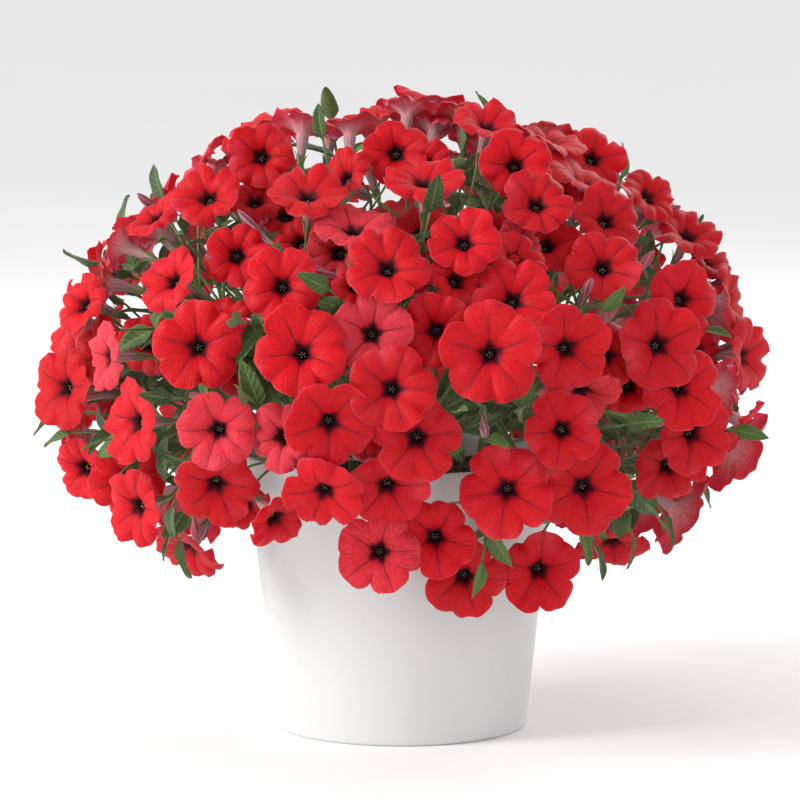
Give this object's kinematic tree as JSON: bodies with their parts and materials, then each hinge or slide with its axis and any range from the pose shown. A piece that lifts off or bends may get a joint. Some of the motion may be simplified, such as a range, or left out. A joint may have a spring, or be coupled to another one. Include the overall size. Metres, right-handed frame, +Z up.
{
  "type": "potted petunia",
  "caption": "Dense rounded mound of red trumpet blooms on leafy stems, growing in soil in a plain white tapered pot.",
  "frame": {"origin": "centre of the pot's flat foot, on the surface that it stands on", "axes": "+Z up along the pot's axis; -Y towards the side with the low curtain of blooms; +X to that side's right"},
  "size_m": [0.5861, 0.5829, 0.5114],
  "materials": {
    "pot": "satin",
    "soil": "matte",
    "leaf": "satin",
    "petal": "satin"
  },
  "bodies": {
    "root": {"pot": "pot", "soil": "soil", "leafy_stem_01": "leaf", "leafy_stem_02": "leaf", "leafy_stem_03": "leaf", "leafy_stem_04": "leaf", "leafy_stem_05": "leaf", "leafy_stem_06": "leaf", "leafy_stem_07": "leaf", "leafy_stem_08": "leaf", "leafy_stem_09": "leaf", "leafy_stem_10": "leaf", "leafy_stem_11": "leaf", "leafy_stem_12": "leaf", "bloom_spray_01": "petal", "bloom_spray_02": "petal", "bloom_spray_03": "petal", "bloom_spray_04": "petal", "bloom_spray_05": "petal", "bloom_spray_06": "petal", "bloom_spray_07": "petal", "bloom_spray_08": "petal", "bloom_spray_09": "petal", "bloom_spray_10": "petal", "bloom_spray_11": "petal", "bloom_spray_12": "petal", "bloom_spray_13": "petal", "bloom_spray_14": "petal", "bloom_spray_15": "petal", "bloom_spray_16": "petal", "bloom_spray_17": "petal", "bloom_spray_18": "petal", "bloom_spray_19": "petal", "bloom_spray_20": "petal", "bloom_spray_21": "petal", "bloom_spray_22": "petal", "bloom_spray_23": "petal", "bloom_spray_24": "petal", "bloom_spray_25": "petal", "bloom_spray_26": "petal", "bloom_spray_27": "petal", "bloom_spray_28": "petal", "bloom_spray_29": "petal", "bloom_spray_30": "petal", "bloom_spray_31": "petal", "bloom_spray_32": "petal", "bloom_spray_33": "petal", "bloom_spray_34": "petal", "bloom_spray_35": "petal", "bloom_spray_36": "petal", "bloom_spray_37": "petal", "bloom_spray_38": "petal", "bloom_spray_39": "petal", "bloom_spray_40": "petal", "bloom_spray_41": "petal", "bloom_spray_42": "petal", "bloom_spray_43": "petal"}
  },
  "joints": []
}
